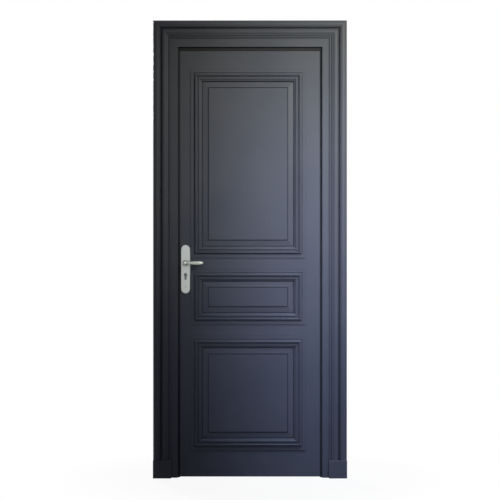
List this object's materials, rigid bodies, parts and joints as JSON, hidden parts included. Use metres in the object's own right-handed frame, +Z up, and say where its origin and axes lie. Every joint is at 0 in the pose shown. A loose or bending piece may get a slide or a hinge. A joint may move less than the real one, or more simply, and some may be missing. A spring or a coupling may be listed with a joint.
{
  "type": "panelled front door",
  "caption": "Painted panelled door leaf with planted mouldings in its rebated frame with moulded architrave, hung on lift-off hinges, with levers, latch and dead bolt.",
  "frame": {"origin": "middle of the frame's outline on the floor, at half of the depth from lever to lever", "axes": "+X to the viewer's right, +Y from the front face to the back, +Z up"},
  "size_m": [0.9364, 0.178, 2.2117],
  "materials": {
    "frame_paint": "satin paint",
    "leaf_paint": "satin paint",
    "panel_paint": "satin paint",
    "seal_rubber": "matt",
    "satin_steel": "satin",
    "cylinder_metal": "satin nickel plate",
    "hinge_steel": "satin",
    "lock_iron": "matt",
    "washer_brass": "plain"
  },
  "bodies": {
    "frame": {"lock_jamb": "frame_paint", "keep_block": "frame_paint", "hinge_jamb": "frame_paint", "head_jamb": "frame_paint", "architrave_left": "frame_paint", "architrave_right": "frame_paint", "architrave_head": "frame_paint", "plinth_left": "frame_paint", "plinth_right": "frame_paint", "seal_left": "seal_rubber", "seal_right": "seal_rubber", "seal_head": "seal_rubber", "strike_plate": "hinge_steel", "hinge_bottom_frame_plate": "hinge_steel", "hinge_middle_frame_plate": "hinge_steel", "hinge_top_frame_plate": "hinge_steel", "hinge_pins": "hinge_steel", "hinge_washers": "washer_brass", "frame_screws": "hinge_steel"},
    "leaf": {"lock_stile": "leaf_paint", "hinge_stile": "leaf_paint", "top_rail": "leaf_paint", "lock_rail": "leaf_paint", "frieze_rail": "leaf_paint", "bottom_rail": "leaf_paint", "top_panel": "panel_paint", "middle_panel": "panel_paint", "bottom_panel": "panel_paint", "top_moulding_bottom": "leaf_paint", "top_moulding_right": "leaf_paint", "top_moulding_top": "leaf_paint", "top_moulding_left": "leaf_paint", "middle_moulding_bottom": "leaf_paint", "middle_moulding_right": "leaf_paint", "middle_moulding_top": "leaf_paint", "middle_moulding_left": "leaf_paint", "bottom_moulding_bottom": "leaf_paint", "bottom_moulding_right": "leaf_paint", "bottom_moulding_top": "leaf_paint", "bottom_moulding_left": "leaf_paint", "hinge_bottom_door_plate": "hinge_steel", "hinge_middle_door_plate": "hinge_steel", "hinge_top_door_plate": "hinge_steel", "leaf_screws": "hinge_steel", "lock_case": "lock_iron", "lock_forend": "hinge_steel", "cylinder_body": "cylinder_metal", "cylinder_screw": "hinge_steel", "outer_plate": "satin_steel", "inner_plate": "satin_steel", "plate_screws": "satin_steel"},
    "lever_set": {"outer_lever": "satin_steel", "inner_lever": "satin_steel", "spindle": "satin_steel", "follower": "lock_iron"},
    "latch": {"latch_bolt": "hinge_steel"},
    "bolt": {"dead_bolt": "hinge_steel"},
    "cylinder": {"cylinder_plug": "cylinder_metal", "cylinder_cam": "cylinder_metal", "thumb_turn": "cylinder_metal"}
  },
  "joints": [
    {"name": "leaf_swing", "type": "hinge", "parent": "frame", "child": "leaf", "pos_m": [0.3625, 0.0309, 1.0495], "axis": [0, 0, -1], "range_deg": [0, 110]},
    {"name": "lever_turn", "type": "hinge", "parent": "leaf", "child": "lever_set", "pos_m": [-0.3125, 0, 1.039], "axis": [0, 1, 0], "range_deg": [0, 40], "stiffness_Nm_per_rad": 1.5, "springref_deg": -22.92},
    {"name": "latch_slide", "type": "slide", "parent": "leaf", "child": "latch", "axis": [1, 0, 0], "range_m": [0, 0.0115]},
    {"name": "cylinder_spin", "type": "hinge", "parent": "leaf", "child": "cylinder", "pos_m": [-0.3125, 0, 0.982], "axis": [0, 1, 0], "range_deg": [0, 360]},
    {"name": "bolt_slide", "type": "slide", "parent": "leaf", "child": "bolt", "axis": [-1, 0, 0], "range_m": [0, 0.02]}
  ],
  "couplings": [
    {"joint": "latch_slide", "follows": "lever_turn", "m_per_rad": 0.016472},
    {"joint": "cylinder_spin", "follows": "bolt_slide", "rad_per_m": 314.16}
  ]
}
